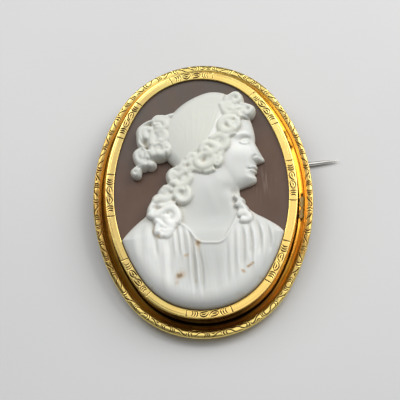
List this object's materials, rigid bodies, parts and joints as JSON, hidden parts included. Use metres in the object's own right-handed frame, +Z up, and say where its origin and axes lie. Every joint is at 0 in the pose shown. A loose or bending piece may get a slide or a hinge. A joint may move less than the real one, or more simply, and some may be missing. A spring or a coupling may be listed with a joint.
{
  "type": "cameo brooch",
  "caption": "Oval shell cameo brooch: carved classical bust on a brown ground in a stepped gold frame, with a hinged pin and hook catch behind.",
  "frame": {"origin": "middle of the bounding box, at the surface the brooch rests on", "axes": "+Y towards the top of the carved head, +X the way the bust faces, +Z up"},
  "size_m": [0.0466, 0.0548, 0.0114],
  "materials": {
    "frame_gold": "worn polished gold with chased scrolls",
    "bezel_gold": "polished gold with engraved panels",
    "brown_shell": "polished brown shell",
    "white_shell": "satin white shell",
    "white_metal": "polished white metal",
    "rivet_gold": "worn gold"
  },
  "bodies": {
    "brooch": {"frame": "frame_gold", "bezel": "bezel_gold", "cameo_ground": "brown_shell", "cameo_relief": "white_shell", "hinge_pin": "rivet_gold"},
    "pin": {"pin_stem": "white_metal"}
  },
  "joints": [
    {"name": "pin_swing", "type": "hinge", "parent": "brooch", "child": "pin", "pos_m": [-0.02002, 0.00506, 0.00126], "axis": [0, 0.9961, 0.088], "range_deg": [0, 110]}
  ]
}
